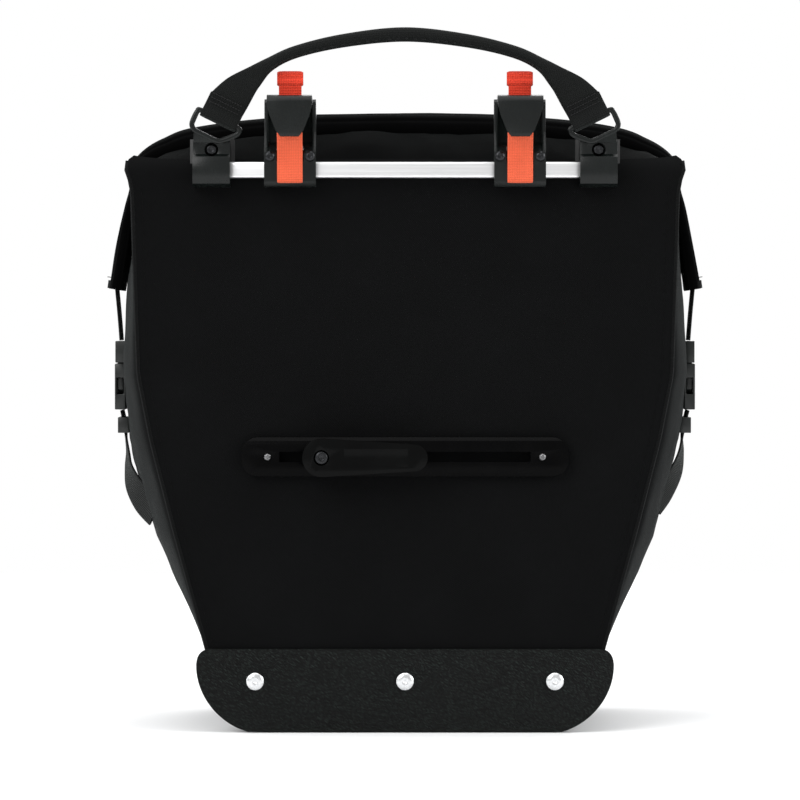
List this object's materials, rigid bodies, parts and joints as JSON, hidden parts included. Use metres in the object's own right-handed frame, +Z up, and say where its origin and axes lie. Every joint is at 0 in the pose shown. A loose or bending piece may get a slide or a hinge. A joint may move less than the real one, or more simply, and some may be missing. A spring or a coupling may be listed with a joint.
{
  "type": "bicycle pannier",
  "caption": "Roll-top bicycle pannier with a rail, sliding cam-lock hooks, a swivelling lower anchor, a riveted bottom guard, a webbing handle and side buckles.",
  "frame": {"origin": "middle of the flat underside of the bottom guard", "axes": "+Z up, -Y towards the bicycle, so the rail, hooks and anchor are on the -Y side; +X to the right of someone looking at the rail along +Y"},
  "size_m": [0.3814, 0.197, 0.4425],
  "materials": {
    "fabric": "black coated woven polyester",
    "cord": "braided polyester",
    "webbing": "black woven polyamide",
    "red_webbing": "orange-red woven ribs",
    "nylon": "black moulded nylon, fine satin",
    "guard_sheet": "black, embossed diagonal grain",
    "stiffener": "dark polyethylene sheet",
    "aluminium": "satin anodised",
    "steel": "bright plated steel",
    "black_steel": "black oxide steel"
  },
  "bodies": {
    "root": {"back_panel": "fabric", "bottom_guard": "guard_sheet", "bottom_panel": "fabric", "bracket_nut_left": "steel", "bracket_nut_right": "steel", "bracket_screw_left": "black_steel", "bracket_screw_right": "black_steel", "buckle_socket_left": "nylon", "buckle_socket_right": "nylon", "end_bracket_left": "nylon", "end_bracket_right": "nylon", "front_panel": "fabric", "guard_rivet_back_left": "steel", "guard_rivet_back_middle": "steel", "guard_rivet_back_right": "steel", "guard_rivet_front_left": "steel", "guard_rivet_front_middle": "steel", "guard_rivet_front_right": "steel", "gusset_left": "fabric", "gusset_right": "fabric", "ladder_lock_left": "nylon", "ladder_lock_right": "nylon", "lower_strap_left": "webbing", "lower_strap_right": "webbing", "lower_track": "nylon", "rail": "aluminium", "stiffener_sheet": "stiffener", "track_rivet_left": "steel", "track_rivet_right": "steel"},
    "hook_left": {"hook_body_left": "nylon", "cam_pin_left": "steel", "cam_spring_left": "steel", "clamp_screw_a_left": "black_steel", "clamp_screw_b_left": "black_steel", "lower_pull_strap_left": "red_webbing"},
    "cam_lever_left": {"cam_left": "nylon"},
    "pull_left": {"upper_pull_strap_left": "red_webbing"},
    "plug_left": {"buckle_plug_left": "nylon"},
    "hook_right": {"hook_body_right": "nylon", "cam_pin_right": "steel", "cam_spring_right": "steel", "clamp_screw_a_right": "black_steel", "clamp_screw_b_right": "black_steel", "lower_pull_strap_right": "red_webbing"},
    "cam_lever_right": {"cam_right": "nylon"},
    "pull_right": {"upper_pull_strap_right": "red_webbing"},
    "plug_right": {"buckle_plug_right": "nylon"},
    "anchor_carriage": {"anchor_screw": "black_steel", "anchor_nut": "steel"},
    "anchor": {"anchor_arm": "nylon"},
    "handle": {"handle_webbing": "webbing", "handle_core": "cord", "handle_end_left": "webbing", "handle_end_right": "webbing"},
    "closure": {"top_collar": "fabric", "roll_closure": "fabric", "upper_strap_left": "webbing", "upper_strap_right": "webbing"}
  },
  "joints": [
    {"name": "hook_left_slide", "type": "slide", "parent": "root", "child": "hook_left", "axis": [1, 0, 0], "range_m": [-0.003, 0.045]},
    {"name": "hook_right_slide", "type": "slide", "parent": "root", "child": "hook_right", "axis": [1, 0, 0], "range_m": [-0.045, 0.003]},
    {"name": "cam_left_pivot", "type": "hinge", "parent": "hook_left", "child": "cam_lever_left", "pos_m": [-0.072, -0.09, 0.3668], "axis": [-1, 0, 0], "range_deg": [0, 50], "stiffness_Nm_per_rad": 0.03, "springref_deg": -17.19},
    {"name": "cam_right_pivot", "type": "hinge", "parent": "hook_right", "child": "cam_lever_right", "pos_m": [0.072, -0.09, 0.3668], "axis": [-1, 0, 0], "range_deg": [0, 50], "stiffness_Nm_per_rad": 0.03, "springref_deg": -17.19},
    {"name": "pull_left_lift", "type": "slide", "parent": "hook_left", "child": "pull_left", "axis": [0, 0, 1], "range_m": [0, 0.00785]},
    {"name": "pull_right_lift", "type": "slide", "parent": "hook_right", "child": "pull_right", "axis": [0, 0, 1], "range_m": [0, 0.00785]},
    {"name": "anchor_slide", "type": "slide", "parent": "root", "child": "anchor_carriage", "axis": [1, 0, 0], "range_m": [-0.0187, 0.115]},
    {"name": "anchor_swivel", "type": "hinge", "parent": "anchor_carriage", "child": "anchor", "pos_m": [-0.0523, -0.1, 0.1735], "axis": [0, 1, 0], "range_deg": [-90, 90]},
    {"name": "handle_swing", "type": "hinge", "parent": "root", "child": "handle", "pos_m": [0, -0.094, 0.3852], "axis": [1, 0, 0], "range_deg": [-65, 80], "deforming": ["handle_end_left", "handle_end_right"]},
    {"name": "closure_lift", "type": "slide", "parent": "root", "child": "closure", "axis": [0, 0, 1], "range_m": [0, 0.09]},
    {"name": "buckle_left_release", "type": "slide", "parent": "closure", "child": "plug_left", "axis": [0, 0, 1], "range_m": [0, 0.022], "deforming": ["upper_strap_left"]},
    {"name": "buckle_right_release", "type": "slide", "parent": "closure", "child": "plug_right", "axis": [0, 0, 1], "range_m": [0, 0.022], "deforming": ["upper_strap_right"]}
  ],
  "couplings": [
    {"joint": "cam_left_pivot", "follows": "pull_left_lift", "rad_per_m": 111.1},
    {"joint": "cam_right_pivot", "follows": "pull_right_lift", "rad_per_m": 111.1}
  ]
}
